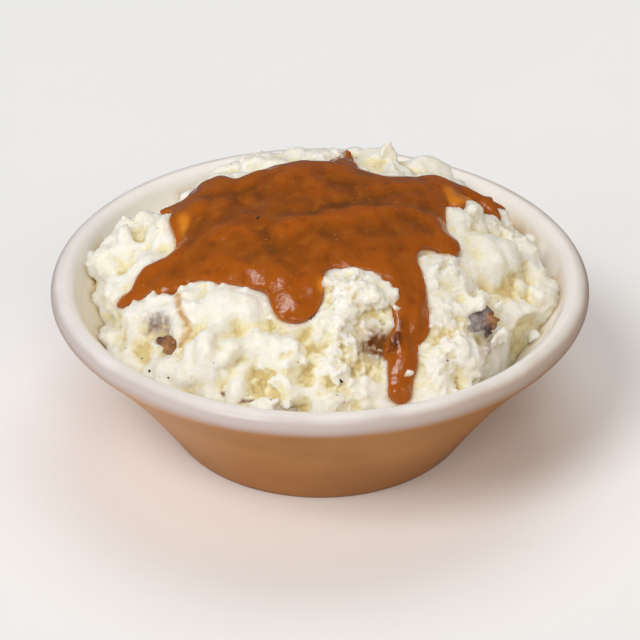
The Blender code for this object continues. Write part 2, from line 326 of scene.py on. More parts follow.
def warped(points, size, reach, seed):
    return points + reach * np.stack([field(points, size, seed + i) for i in range(3)], 1)


def puffs(points, size, seed):
    """Round bumps with sharp creases between them, about 0 on average."""
    return np.abs(field(warped(points, 1.7 * size, 0.2 * size, seed + 1), size, seed)) - 0.8


def broken(points, seeds, tilts):
    """Round lumps about the seeds: the rise of each one's tilt, and the distance from its middle."""
    tree = KDTree(len(seeds))
    for i, seed in enumerate(seeds):
        tree.insert(seed, i)
    tree.balance()
    nearest = np.array([tree.find(point)[1] for point in points])
    away = points - seeds[nearest]
    return (away * tilts[nearest]).sum(1), np.linalg.norm(away, axis=1)


def fade(distance, reach):
    """1 at no distance, fading to 0 beyond a reach."""
    return np.exp(-((distance / reach) ** 2))


def near(points, x, y, z, reach):
    """1 at a place, fading to 0 beyond a reach, both in millimetres."""
    return fade(np.linalg.norm(points - np.array((x, y, z)) * MM, axis=1), reach * MM)


def marked(points, table):
    """The sum of what is near a table's places, each times its strength."""
    return sum(near(points, *row[:4]) * (row[4] if len(row) > 4 else 1) for row in table.values())


def distance_to_course(points, course):
    """Each point's distance to a line through places in millimetres."""
    least = np.full(len(points), np.inf)
    for start, end in zip(course, course[1:]):
        start, along = np.array(start) * MM, (np.array(end) - np.array(start)) * MM
        share = np.clip((points - start) @ along / (along @ along), 0, 1)
        least = np.minimum(least, np.linalg.norm(points - start - share[:, None] * along, axis=1))
    return least


def onto(tree, places):
    """The nearest points of a surface to the places."""
    return np.array([tree.find_nearest(Vector(place))[0] for place in places])


def soft_step(values, low, high):
    share = np.clip((values - low) / (high - low), 0, 1)
    return share * share * (3 - 2 * share)


def scattered(obj, count, chance):
    """Points spread evenly over a surface, with its normals there."""
    obj.data.calc_loop_triangles()
    corners = points_of(obj)[rows_of(obj.data.loop_triangles, "vertices", 3, np.int32)]
    across = np.cross(corners[:, 1] - corners[:, 0], corners[:, 2] - corners[:, 0])
    area = np.linalg.norm(across, axis=1)
    picks = chance.choice(len(corners), count, p=area / area.sum())
    u, v = chance.random((2, count))
    u, v = np.where(u + v > 1, 1 - u, u)[:, None], np.where(u + v > 1, 1 - v, v)[:, None]
    picked = corners[picks]
    places = picked[:, 0] + u * (picked[:, 1] - picked[:, 0]) + v * (picked[:, 2] - picked[:, 0])
    return places, across[picks] / area[picks, None]


def spaced(places, spacing, chance):
    """One of the places, picked by chance, in each cube of the spacing."""
    places = chance.permutation(places)
    cubes = np.floor(places / spacing).astype(int)
    return places[np.unique(cubes, axis=0, return_index=True)[1]]


def in_metres(table):
    """The places and the radii of a table in millimetres."""
    rows = np.array(list(table.values())) * MM
    return rows[:, :3], rows[:, 3]


def balls(name, places, radii, chance, unevenness, level=2):
    """Uneven balls, each stretched and turned by chance."""
    bm = bmesh.new()
    bmesh.ops.create_icosphere(bm, subdivisions=level, radius=1)
    shape = np.array([v.co for v in bm.verts])
    faces = np.array([[v.index for v in f.verts] for f in bm.faces])
    bm.free()
    points = []
    for place, radius in zip(places, radii):
        turn = np.linalg.qr(chance.normal(size=(3, 3)))[0]
        turn *= np.sign(np.linalg.det(turn))
        stretch = chance.uniform(0.75, 1.25, 3)
        swell = 1 + unevenness * field(shape + chance.uniform(-50, 50, 3), 1.5, 3)
        points.append(place + radius * (shape * stretch * swell[:, None]) @ turn)
    steps = np.arange(len(points))[:, None, None] * len(shape)
    return link_faces(name, np.concatenate(points), (faces + steps).reshape(-1, 3))


# Materials

# A Mix node's colour sockets, by number, since their names aren't unique
MIX_COLOUR_A, MIX_COLOUR_B, MIX_COLOUR_RESULT = 6, 7, 2


class Nodes:
    """Short ways to lay out a material's nodes."""

    def __init__(self, name):
        self.material = bpy.data.materials.new(name)
        self.material.use_nodes = True
        self.tree = self.material.node_tree
        self.shader = self.tree.nodes["Principled BSDF"]

    def add(self, kind, inputs, **settings):
        node = self.tree.nodes.new("ShaderNode" + kind)
        for key, value in settings.items():
            setattr(node, key, value)
        for key, value in inputs.items():
            self.join(value, node.inputs[key])
        return node

    def join(self, source, target):
        if isinstance(source, (int, float)):
            target.default_value = source
        elif isinstance(source, tuple):
            target.default_value = (*source, 1)
        else:
            self.tree.links.new(source, target)

    def place(self):
        return self.add("TexCoord", {}).outputs["Object"]

    def attribute(self, name):
        return self.add("Attribute", {}, attribute_name=name).outputs["Fac"]

    def noise(self, size, detail=2, roughness=0.5, distortion=0):
        """Noise whose lumps are about a size in metres, from 0 to 1."""
        numbers = {"Scale": 1 / size, "Detail": detail, "Roughness": roughness, "Distortion": distortion}
        return self.add("TexNoise", {"Vector": self.place(), **numbers}).outputs["Fac"]

    def math(self, operation, a, b):
        return self.add("Math", {0: a, 1: b}, operation=operation).outputs[0]

    def uneven(self, value, strength):
        """A value from 0 to 1 turned into one about 0."""
        return self.math("MULTIPLY", self.math("SUBTRACT", value, 0.5), strength)

    def ramp(self, value, low, high, to_low=0, to_high=1):
        """A smooth step from one number to another, as a value goes from low to high."""
        numbers = {"From Min": low, "From Max": high, "To Min": to_low, "To Max": to_high}
        node = self.add("MapRange", {"Value": value, **numbers}, interpolation_type="SMOOTHSTEP")
        return node.outputs["Result"]

    def mix(self, share, a, b, blend="MIX"):
        inputs = {"Factor": share, MIX_COLOUR_A: a, MIX_COLOUR_B: b}
        return self.add("Mix", inputs, data_type="RGBA", blend_type=blend).outputs[MIX_COLOUR_RESULT]

    def bump(self, height, distance, strength):
        node = self.add("Bump", {"Distance": distance, "Strength": strength, "Height": height})
        self.join(node.outputs["Normal"], self.shader.inputs["Normal"])

    def set(self, **values):
        for key, value in values.items():
            self.join(value, self.shader.inputs[key.replace("_", " ")])


def mash_material():
    white, cream = (0.88, 0.855, 0.785), (0.87, 0.83, 0.71)
    yellow_shade, dark_yellow_shade = (0.865, 0.795, 0.55), (0.76, 0.62, 0.3)
    gravy_brown, stain_and_shadow_brown, skin_lilac = (0.57, 0.32, 0.095), (0.22, 0.075, 0.012), (0.46, 0.385, 0.35)
    n = Nodes("moist_mashed_potato")
    colour = n.mix(n.ramp(n.noise(5 * MM, 3), 0.38, 0.62), white, cream)
    # Painted shade: yellow in the hollows, under lumps and where the mash meets the wall
    hollow_shade = n.math("ADD", n.attribute("hollow_shade"), n.attribute("yellow_shade"))
    hollow_shade = n.math("ADD", hollow_shade, n.uneven(n.noise(3 * MM, 3), 0.5))
    colour = n.mix(n.ramp(hollow_shade, 0, 0.6), colour, yellow_shade)
    colour = n.mix(n.ramp(hollow_shade, 0.55, 1.4), colour, dark_yellow_shade)
    colour = n.mix(n.attribute("soaked"), colour, gravy_brown)
    # Gravy stains and skin lines, and the knob's shadow painted as a dark stain
    colour = n.mix(n.attribute("stain_and_shadow"), colour, stain_and_shadow_brown)
    colour = n.mix(n.attribute("skin_tint"), colour, skin_lilac)
    n.set(Base_Color=colour, Roughness=n.ramp(n.noise(1.5 * MM, 3), 0.3, 0.7, 0.4, 0.6))
    n.set(Specular_IOR_Level=0.25, Subsurface_Weight=0.8, Subsurface_Scale=2.2 * MM)
    n.shader.inputs["Subsurface Radius"].default_value = (1, 0.92, 0.75)
    n.bump(n.noise(0.7 * MM, 4, 0.6), 0.1 * MM, 0.7)
    return n.material


def gravy_material():
    brown, light_brown = (0.235, 0.058, 0.003), (0.3, 0.074, 0.0035)
    deep_and_shaded_brown, thin_and_lit_brown = (0.15, 0.045, 0.0035), (0.37, 0.086, 0.0035)
    knob_shadow_brown, thin_brown = (0.125, 0.026, 0.0018), (0.42, 0.105, 0.006)
    light_streak, dark_streak = (0.37, 0.105, 0.007), (0.16, 0.042, 0.003)
    golden, grain_tan = (0.64, 0.21, 0.014), (0.62, 0.33, 0.12)
    n = Nodes("brown_gravy")
    cloud = n.noise(9 * MM, 3)
    colour = n.mix(n.ramp(cloud, 0.3, 0.7), brown, light_brown)
    # Darker in valleys and lighter on ridges: partly deeper and thinner gravy, partly painted shade and
    # painted light
    valley = n.math("ADD", n.attribute("valley"), n.uneven(cloud, 0.6))
    colour = n.mix(n.ramp(valley, 0, 1.1), colour, deep_and_shaded_brown)
    colour = n.mix(n.ramp(valley, 0, -1.2), colour, thin_and_lit_brown)
    # Painted shadow of the knob, dark brown
    colour = n.mix(n.ramp(n.attribute("knob_shadow"), 0.1, 0.8), colour, knob_shadow_brown)
    colour = n.mix(n.ramp(n.attribute("thin"), 0.35, 0.95), colour, thin_brown)
    streak = n.noise(4 * MM, 4, 0.6, 0.2)
    colour = n.mix(n.ramp(streak, 0.5, 0.7, 0, 0.7), colour, light_streak)
    colour = n.mix(n.ramp(streak, 0.47, 0.28, 0, 0.55), colour, dark_streak)
    edge = n.math("MULTIPLY", n.attribute("golden"), n.ramp(n.noise(4 * MM, 1), 0.2, 0.7, 0.8, 1.1))
    colour = n.mix(n.ramp(edge, 0.05, 1), colour, golden)
    dots = n.add("TexVoronoi", {"Vector": n.place(), "Scale": 1 / (2.4 * MM)}, feature="F1")
    chosen = n.math("GREATER_THAN", dots.outputs["Color"], 0.55)
    grain = n.math("MULTIPLY", n.ramp(dots.outputs["Distance"], 0.13, 0.05), chosen)
    colour = n.mix(n.math("MULTIPLY", grain, 0.5), colour, grain_tan)
    n.set(Base_Color=colour, Roughness=n.ramp(n.noise(1.2 * MM, 2), 0.3, 0.7, 0.11, 0.18))
    n.set(Specular_IOR_Level=0.45, Subsurface_Weight=0.2, Subsurface_Scale=1.2 * MM)
    n.shader.inputs["Subsurface Radius"].default_value = (1, 0.3, 0.05)
    ripple = n.math("ADD", n.noise(1.1 * MM, 3), n.math("MULTIPLY", grain, 0.2))
    n.bump(ripple, 0.25 * MM, 0.6)
    return n.material


def bowl_material():
    white_glaze, cream_glaze = (0.94, 0.9, 0.86), (0.92, 0.875, 0.83)
    # The lip's outer side: thin glaze over clay, darker partly as painted shade, with a painted warmer
    # shade on the right
    thin_shaded_glaze, lip_glaze, right_shade = (0.5, 0.37, 0.32), (0.565, 0.48, 0.45), (0.88, 0.82, 0.72)
    mash_film_and_shade, juice_and_shade_brown = (0.84, 0.73, 0.53), (0.5, 0.33, 0.11)
    light_clay, dark_clay = (0.57, 0.255, 0.082), (0.5, 0.215, 0.066)
    lit_left_clay, shaded_right_clay = (0.79, 0.45, 0.26), (0.49, 0.19, 0.03)
    shaded_low_clay, speck_brown = (0.34, 0.13, 0.036), (0.26, 0.11, 0.045)
    n = Nodes("two_tone_glaze")
    place = n.add("SeparateXYZ", {"Vector": n.place()})
    x, z = place.outputs["X"], place.outputs["Z"]
    edge = n.math("ADD", z, n.uneven(n.noise(14 * MM, 2), 1.2 * MM))
    cloud = n.noise(18 * MM, 3)
    inside = n.attribute("inside")
    white = n.mix(n.ramp(cloud, 0.35, 0.65), white_glaze, cream_glaze)
    outer = n.mix(n.ramp(edge, *THIN_SHADED_GLAZE), thin_shaded_glaze, lip_glaze)
    outer = n.mix(n.ramp(x, 5 * MM, 55 * MM), outer, n.mix(1, outer, right_shade, "MULTIPLY"))
    outer = n.mix(n.ramp(edge, *FULL_GLAZE), outer, white)
    white = n.mix(inside, outer, white)
    # Mash film with painted shade and yellow bounce light on the wall, then juice with the painted
    # contact shadow at the mash's edge
    white = n.mix(n.math("MULTIPLY", n.attribute("film_and_shade"), n.noise(3 * MM, 3)), white, mash_film_and_shade)
    white = n.mix(n.math("MULTIPLY", n.attribute("juice_and_shade"), 0.8), white, juice_and_shade_brown)
    clay = n.mix(n.ramp(cloud, 0.3, 0.7), light_clay, dark_clay)
    # Painted light: the clay lighter on the left; painted shade: darker on the right and towards the
    # foot
    clay = n.mix(n.ramp(x, -15 * MM, -60 * MM), clay, lit_left_clay)
    clay = n.mix(n.ramp(x, 15 * MM, 60 * MM), clay, shaded_right_clay)
    clay = n.mix(n.ramp(z, 26 * MM, 4 * MM, 0, 0.4), clay, shaded_low_clay)
    speck = n.ramp(n.noise(1.1 * MM, 1), 0.74, 0.8)
    clay = n.mix(n.math("MULTIPLY", speck, 0.35), clay, speck_brown)
    white_share = n.math("MAXIMUM", inside, n.ramp(edge, *WHITE_GLAZE))
    n.set(Base_Color=n.mix(white_share, clay, white), Roughness=n.ramp(white_share, 0, 1, 0.42, 0.28))
    n.set(Specular_IOR_Level=0.3)
    n.bump(n.noise(5 * MM, 3), 0.06 * MM, 0.5)
    return n.material


def skin_material():
    dark_lilac, pale_lilac = (0.16, 0.125, 0.13), (0.39, 0.33, 0.315)
    dark_brown, light_brown = (0.24, 0.095, 0.03), (0.42, 0.2, 0.08)
    nearly_black, flesh = (0.06, 0.026, 0.028), (0.6, 0.49, 0.36)
    n = Nodes("potato_skin")
    cloud = n.noise(1.8 * MM, 4, 0.6)
    lilac = n.mix(n.ramp(cloud, 0.35, 0.65), dark_lilac, pale_lilac)
    brown = n.mix(n.ramp(cloud, 0.35, 0.65), dark_brown, light_brown)
    share = n.math("ADD", n.attribute("brown"), n.uneven(n.noise(MM, 3), 0.8))
    colour = n.mix(n.ramp(share, 0.3, 0.7), lilac, brown)
    dark = n.math("MULTIPLY", n.ramp(n.attribute("dark"), 0.1, 0.9), 0.85)
    colour = n.mix(dark, colour, nearly_black)
    colour = n.mix(n.math("MULTIPLY", n.attribute("pale"), 0.7), colour, flesh)
    n.set(Base_Color=colour, Roughness=n.ramp(cloud, 0.3, 0.7, 0.32, 0.5))
    n.set(Subsurface_Weight=0.1, Subsurface_Scale=0.6 * MM)
    n.bump(n.noise(0.5 * MM, 3), 0.12 * MM, 0.7)
    return n.material


def pepper_material():
    black, red, grey = (0.018, 0.014, 0.01), (0.24, 0.065, 0.02), (0.1, 0.075, 0.05)
    n = Nodes("ground_pepper")
    colour = n.mix(n.ramp(n.attribute("red"), 0.2, 0.8), black, red)
    colour = n.mix(n.ramp(n.noise(0.2 * MM, 2), 0.4, 0.7), colour, grey)
    n.set(Base_Color=colour, Roughness=0.7)
    return n.material


def floor_material():
    n = Nodes("pale_floor")
    colour = n.mix(n.noise(60 * MM, 2), (0.93, 0.93, 0.93), (0.95, 0.95, 0.95))
    n.set(Base_Color=colour, Roughness=0.9, Specular_IOR_Level=0.1)
    return n.material


# The bowl

def wall_radius(height):
    share = max(height, 0) / (top_of_bowl - 2 * LIP_RADIUS)
    return FOOT_RADIUS + WALL_SLOPE * height + FLARE * share**FLARE_POWER


def inner_radius(height):
    slope = (wall_radius(height + MM) - wall_radius(height)) / MM
    radius = wall_radius(height) - WALL * math.hypot(1, slope)
    depth = (height - FLOOR) / INNER_ROUND
    if depth < 1:
        radius -= INNER_ROUND * (1 - math.sqrt(max(0, 1 - (1 - depth) ** 2)))
    return radius


def bowl_profile():
    """(radius, height, 1 on the inside) up the inner wall, over the lip and down to the foot."""
    wall_top = top_of_bowl - WALL_TOP
    quarter = np.linspace(0, math.pi / 2, INNER_ROUND_STEPS)
    inner = [FLOOR + INNER_ROUND * (1 - math.cos(angle)) for angle in quarter]
    inner += list(np.linspace(FLOOR + INNER_ROUND, wall_top, INNER_WALL_STEPS))[1:]
    profile = [(0, FLOOR, 1), (0.5 * inner_radius(FLOOR), FLOOR, 1)]
    profile += [(inner_radius(z), z, 1) for z in inner]
    lip_radius, lip_height = rim_radius - LIP_RADIUS, top_of_bowl - LIP_RADIUS
    for angle in np.radians(np.linspace(LIP_INNER_END, LIP_OUTER_END, LIP_STEPS)):
        radius = lip_radius + LIP_RADIUS * math.cos(angle)
        profile.append((radius, lip_height + LIP_RADIUS * math.sin(angle), float(angle > math.pi / 2)))
    profile += [(wall_radius(z), z, 0) for z in np.linspace(wall_top, FOOT_ROUND, OUTER_WALL_STEPS)]
    foot = FOOT_RADIUS - 0.6 * FOOT_ROUND
    profile += [(FOOT_RADIUS + 0.1 * FOOT_ROUND, 0.3 * FOOT_ROUND, 0), (foot, 0, 0)]
    profile += [(foot - FOOT_RING_WIDTH, 0, 0), (foot - FOOT_RING_WIDTH - FOOT_RECESS, FOOT_RECESS, 0)]
    return profile + [(0, FOOT_RECESS, 0)]


# Where a film of mash is left on the wall, with painted shade and painted yellow bounce light
WALL_FILMS_AND_SHADE = {
    "front left": (-61, -20, 41, 9, 1.2),
    "left": (-64, -4, 40, 9, 0.7),
    "front": (-40, -50, 40, 8, 0.6),
}

# Where the wall is wet with juice, with a painted shadow beside the mash
WET_AND_SHADED = {
    "beside the right lump": (68.3, -3.5, 43, 3.2, 0.85),
    "left": (-67, 9, 41.5, 6, 0.25),
}

# Along the mash's edge: how far the film of mash with its painted shade, and the juice with the painted
# contact shadow, reach up the wall
FILM_AND_SHADE_REACH = 2.2 * MM
JUICE_AND_SHADE_REACH = 0.9 * MM
CLEAN_RIM = (43.3 * MM, 44.7 * MM)  # the heights over which both end below the rim


def mark_film_and_shade(bowl, mash):
    """Stores how much mash film and juice is on the wall, with painted shade and a painted contact
    shadow along the mash's edge.
    """
    points = points_of(bowl)
    away = distance_to(tree_of(mash), points, 12 * MM)
    below_rim = 1 - soft_step(points[:, 2], *CLEAN_RIM)
    film_and_shade = marked(points, WALL_FILMS_AND_SHADE) + 0.9 * np.exp(-away / FILM_AND_SHADE_REACH)
    set_attribute(bowl, "film_and_shade", film_and_shade * below_rim)
    juice_and_shade = fade(away, JUICE_AND_SHADE_REACH) + marked(points, WET_AND_SHADED)
    set_attribute(bowl, "juice_and_shade", np.minimum(juice_and_shade, 1) * below_rim)


def glazed_bowl():
    profile = bowl_profile()
    angles = np.linspace(0, math.tau, BOWL_SEGMENTS, endpoint=False)
    points, faces, inside = [(0, 0, profile[0][1])], [], [1]
    for radius, height, share in profile[1:-1]:
        points += [(radius * math.cos(a), radius * math.sin(a), height) for a in angles]
        inside += [share] * BOWL_SEGMENTS
    points.append((0, 0, profile[-1][1]))
    inside.append(0)
    last = len(points) - 1
    for i in range(BOWL_SEGMENTS):
        j = (i + 1) % BOWL_SEGMENTS
        faces.append((0, 1 + i, 1 + j))
        for ring in range(len(profile) - 3):
            low = 1 + ring * BOWL_SEGMENTS
            high = low + BOWL_SEGMENTS
            faces.append((low + i, high + i, high + j, low + j))
        low = last - BOWL_SEGMENTS
        faces.append((low + i, last, low + j))
    made = link_faces("glazed_bowl", points, faces)
    set_attribute(made, "inside", inside)
    dress(made, bowl_material())
    return made


# The gravy

# Folds of the gravy: x and y of both ends, reach, rise
FOLDS = {
    "valley of the run": (24.6, -34, 24, -42, 1.6, -0.35),
    "right ridge of the run": (27, -31, 26.4, -40, 1.6, 0.8),
    "left hump": (-36, 2, -29, 7, 3.5, 0.8),
    "behind the left hump": (-26, 11, -21, 3, 2.6, -0.7),
    "valley left of the middle": (-20, 7, -17, -6, 2.8, -0.7),
    "valley at the middle": (-13, -8, -2, -9, 2.2, -0.7),
    "plateau": (-10, 8, 6, 9, 5, 0.7),
    "middle bump": (-7, -14, 2, -13, 3.2, 0.7),
    "left front bump": (-27, -14, -22, -12, 3, 0.6),
    "between the front bumps": (-15, -14, -13, -22, 2.2, -0.7),
    "long valley": (2, -6, 27, 7, 2.4, -0.7),
    "before the long valley": (8, -13, 18, -6, 3, 0.6),
    "right back hump": (27, 12, 37, 13, 4, 0.7),
    "right valley": (17, -3, 30, 2, 2, -0.4),
    "lip left of the tongue": (-22, -26, -12, -29.5, 3, 0.9),
    "lip at the left end": (-49, -15.5, -40, -17.5, 3, 0.8),
    "tongue": (-9, -32, -8, -36, 3.5, 0.6),
    "run": (20, -34, 23, -46, 2.6, 0.6),
    "back end": (6.5, 30, 7.5, 38, 4, -1.8),
}

# Thick drops at the gravy's ends
DROPS = {
    "left of the run's tip": (20.4, -52.8, 41.4, 2.1),
    "right of the run's tip": (23, -52.6, 41.8, 2.3),
    "right end": (49.8, 20, 55.8, 3.2),
    "above the right end": (48.2, 21.3, 56.6, 3.2),
    "before the right end": (46.2, 22, 57.4, 3.2),
    "neck of the right end": (43.8, 22.4, 58.7, 3),
    "root of the right end": (41.2, 22.2, 60.2, 3),
    "behind the right ball": (38.2, 12.4, 62, 3.6),
    "behind the right nugget": (41.4, 16, 60.2, 3.6),
    "left tongue": (-42.3, -19.4, 53.6, 4.2),
    "root of the left tongue": (-38.5, -20.8, 55.8, 3.4),
}

# Where the gravy's side is drawn in, and last how far towards +X
PINCHES = {
    "left side of the run": (15.8, -43.6, 51.4, 2.6, 2.4),
    "right side of the run": (29, -44, 49.5, 5, -2.2),
    "right side of the tip": (26.5, -50, 45, 4, -1),
    "behind the right end": (53, 22, 57, 3, -2.5),
    "left side": (-42, -4, 63, 4.5, 1.8),
}

# Where the gravy is evened out
EVENED = {
    "right end": (48, 20, 57, 6),
    "behind the right ball": (39, 13.5, 64, 4.5),
}

# Where the knob's shadow is painted on the gravy as dark brown
KNOB_SHADOW = {
    "under the knob": (16.5, -43.4, 51.5, 4),
    "beside the knob": (19.9, -39.6, 56, 2.8),
    "left side of the run": (19.4, -43.5, 53, 2.6),
}

# Where the gravy is so thin that it looks golden
GOLDEN = {
    "left": (-38.6, -1.4, 66.6, 2.5),
    "lower left": (-38.9, -4.2, 64.9, 2.2),
    "beside the knob": (0.5, -32.5, 63.5, 2.4),
    "right": (37.5, 13, 66.5, 3.2),
    "right end": (42, 15, 64, 2.5),
    "behind the right ball": (38.8, 12.5, 65, 3),
}


def poured_gravy():
    chance = np.random.default_rng(SEED + 4)
    ends = balls("drops", *in_metres(DROPS), chance, 0.1, 3)
    made = joined("poured_gravy", [copy_of("gravy", "gravy_copy"), ends])
    remesh(made, GRAVY_VOXEL, GRAVY_SMOOTHING)
    for place in EVENED.values():
        smooth_out(made, np.clip(1.5 * near(points_of(made), *place), 0, 1), EVENING_ROUNDS)
    points, normals = points_of(made), normals_of(made)
    for x, y, z, reach, drawn in PINCHES.values():
        points[:, 0] += drawn * MM * near(points, x, y, z, reach)
    upper = soft_step(normals[:, 2], 0, 0.5)
    for x0, y0, x1, y1, reach, rise in FOLDS.values():
        away = distance_to_course(points[:, :2], ((x0, y0), (x1, y1)))
        points[:, 2] += upper * rise * MM * fade(away, reach * MM)
    swell = GRAVY_SWELL + waves(points, GRAVY_WAVES)
    swell += PUFF_HEIGHT * puffs(points, PUFF_SIZE, 25)
    move_points(made, points + normals * (upper * swell)[:, None])
    dress(made, gravy_material())
    return made


def mark_gravy(gravy, mash):
    """Stores how thin and golden each point is, the knob's painted shadow, and how far it lies in a
    valley, where shade is partly painted.
    """
    points = points_of(gravy)
    depth = distance_to(tree_of(mash), points, 3 * MM)
    thin = (1 - np.clip(depth / THICK_GRAVY, 0, 1))[:, None]
    average = averager(gravy)
    for _ in range(THIN_ROUNDS):
        thin = average(thin)
    set_attribute(gravy, "thin", thin[:, 0])
    set_attribute(gravy, "golden", marked(points, GOLDEN) * (1 + 0.1 * field(points, 5 * MM, 24)))
    set_attribute(gravy, "knob_shadow", marked(points, KNOB_SHADOW))
    # The valleys, painted darker partly as shade
    set_attribute(gravy, "valley", hollowness(gravy, VALLEY_ROUNDS) / VALLEY_DEPTH)


# The mash

# Round lumps: their spacing and height in millimetres, and how steeply each one tilts
BLOCKS = (10, 1.7, 0.16)
CLODS = (4.4, 1.25, 0.12)
GRAINS = (2, 0.45, 0)

# Where the mash is crumblier, or smoother if below 0: x, y, reach, and how much
TEXTURE = {
    "knob": (9, -38, 9, 1.3),
    "right of the run": (31, -33, 9, 0.8),
    "before the right lump": (33, -48, 8, 0.5),
    "front": (4, -55, 12, 0.7),
    "left shoulder": (-56, 6, 7, 0.3),
    "left ridge": (-46, -26, 7, 0.2),
    "right lump": (50, -8, 11, -0.9),
    "left lump": (-50, 0, 9, -0.6),
    "front left lump": (-27, -44, 9, -0.6),
    "back right lump": (32, 41, 10, -0.5),
}

# Where shade is painted on the mash as yellow, under lumps and in hollows
YELLOW_SHADE = {
    "under the tongue": (-7, -49, 53, 5, 0.8),
    "front": (-14, -55, 47, 6, 0.6),
    "middle front": (4, -53, 45, 7, 0.45),
    "along the front rim": (-8, -60, 42, 8, 0.5),
    "left": (-46.7, -31, 43, 4, 0.7),
    "under the knob": (9, -47.5, 49, 5.5, 0.5),
    "right of the run": (32, -40, 50, 7, 0.3),
    "below the right lump": (52, -15, 48, 4, 0.6),
    "low on the right lump": (53.4, -11, 50.5, 3.2, 1.1),
    "right lump": (54, -6, 56, 7, 0.35),
    "before the right lump": (47, -24, 50, 5, 0.3),
    "front left": (-33, -47, 46, 5, 0.35),
}

# Where gravy has run over the mash, and under the knob its shadow is painted as a dark stain
STAINS_AND_SHADOW = {
    "under the knob": (15.3, -42.8, 51, 3.4, 1.6),
    "left under the knob": (11, -43.5, 51, 2, 0.6),
    "left of the left chip": (-46.3, -30.9, 50.5, 1.5, 0.4),
}

# Where skin has tinted the mash
SKIN_TINTS = {
    "left chip": (-44.5, -30, 50, 3.2, 1.4),
    "right of the left chip": (-40.5, -31.5, 49, 3, 1.1),
    "right": (42, -30, 51.5, 2.2, 0.5),
    "below the right skin": (47, -32.5, 43.5, 4, 0.9),
    "right foot": (48.5, -34.5, 41, 3, 0.7),
}

# Thin dark lines of skin in the mash: the width and the course
SKIN_LINES = {
    "left": (0.75, (
        (-48.3, -30, 47.1), (-47.4, -30.3, 47.7), (-45.7, -30.6, 48.2), (-44.6, -30.7, 48.2),
    )),
    "front": (0.45, (
        (-26.3, -53.4, 42.2), (-24.1, -54.7, 42.1), (-21.4, -56.1, 42), (-17.5, -57, 41.2),
    )),
}

# Where the mash lies lower, and last how far
DENTS = {
    "by the gravy's right end": (53.5, 20.5, 56, 3.5, 2.5),
    "at the left wall": (-64, 3, 43, 4.5, 3),
}

# Where the mash stands back from the wall
STAND_BACK_TURN = -28  # degrees about +Z
STAND_BACK_REACH = 19  # degrees to each side
STAND_BACK_HEIGHT = 29 * MM  # the lowest height that moves
STAND_BACK_MOST = 12 * MM  # how far at most
WALL_OVERLAP = 0.3 * MM  # how far the mash may reach into the wall
FREE_HEIGHT = 44 * MM  # above it the mash may reach out over the wall
FREE_REACH = 6 * MM

# Painted shade in the mash's hollows: rounds of smoothing, the depth that counts as 1, and its weight
HOLLOW_SHADES = ((14, 0.35 * MM, 0.22), (90, 1.2 * MM, 0.48))

# Painted yellow shade where the mash meets the wall, and how far from the wall it reaches
WALL_YELLOW_SHADE = 1.2
WALL_SHADE_REACH = 1.6 * MM
SOAKED_REACH = 0.7 * MM  # from the gravy

# Pale lumps that stand out
NUGGETS = {
    "right ball": (38.2, 4, 63, 3.5),
    "right nugget": (43.2, 9.3, 64.3, 2.1),
    "far right lump": (62.3, -5, 45.3, 4.7),
    "above the right skin": (43.5, -27, 55, 2.8),
    "below the left skin": (-40.5, -38.5, 41.5, 3),
    "right of the left skin": (-35.8, -35.8, 45.5, 3),
    "front left block": (-30, -44.5, 50.5, 5.2),
    "front left block's right": (-23.5, -46, 50, 4.8),
    "front left block's top": (-26, -43, 53.5, 4.2),
    "front left block's foot": (-28, -48.5, 46, 3.6),
    "left peak": (-55.5, 7, 57.5, 2.6),
}

# Single crumbs that stand out
SEEN_CRUMBS = {
    "white block": (-9.3, -55.5, 46, 3.2),
    "above the right skin": (49, -27, 53.2, 1.4),
    "below the right skin": (49.5, -31.4, 46.5, 1.9),
    "right skin's lower left": (47.3, -32.6, 45.4, 1.2),
    "front skin's left": (-15.5, -58.6, 42.4, 1.3),
    "front skin's middle": (-12, -59.6, 42.9, 1.4),
    "front skin's right": (-8.6, -60.1, 43.1, 1.3),
    "on the run": (23.4, -50.1, 46.2, 1.1),
    "small on the run": (24.4, -50, 46.2, 0.8),
    "back peak": (19.3, 40, 65, 2.4),
    "top of the back peak": (19.8, 40.2, 67, 1.4),
    "right of the left skin": (-37.8, -36, 46, 1.3),
    "left skin's lower right": (-39, -37, 44.2, 1.6),
    "under the left skin": (-41.5, -37, 42.7, 1.6),
    "left skin's lower left": (-44.4, -34.6, 42.6, 1.4),
    "left of the left skin": (-45.3, -32.6, 44.8, 0.9),
    "above the left skin": (-40.4, -31.6, 48, 1),
}

# Crumbs of mash over the gravy's edge: how many, largest radius, and the course
RAGGED = {
    "knob": (150, 1.5, (
        (2.2, -32, 63.2), (3.6, -29.5, 64.2), (6.8, -27.8, 64.8), (11.4, -28, 64.4),
        (15.8, -29.2, 62.6), (19.3, -32, 60.8), (21, -35.2, 58), (21, -38, 55.6), (19.2, -40, 53.3),
        (15.7, -41.5, 52.3), (11.3, -42.8, 51.8), (8.1, -45.3, 53.7),
    )),
    "left block": (60, 1.1, (
        (-56.2, -16.3, 44.9), (-51.1, -21.3, 49.2), (-46.6, -24.8, 53.8), (-42.5, -24.4, 54.5),
        (-39.3, -28, 56),
    )),
    "front left clump": (70, 1.2, (
        (-37.7, -26, 57.2), (-35.7, -23.2, 57), (-28.7, -26.7, 59), (-21.7, -30.5, 60.3),
        (-15.7, -32, 60.2),
    )),
    "right": (40, 1.1, ((22.4, -21.5, 65.2), (27.5, -18.3, 63), (33.1, -16.4, 61), (35.4, -12.8, 62))),
}
LEAST_RAGGED = 0.45  # their least radius

# The course of a thin trickle that has soaked in
TRICKLE = (
    (-38.8, -27, 57), (-38.6, -31.1, 56.9), (-38, -33.6, 55.5), (-36.6, -34.7, 53.3),
    (-35.8, -35.5, 50.8), (-36.4, -36.4, 48.8), (-38.2, -36.9, 47.2),
)
TRICKLE_STRENGTH = 0.95


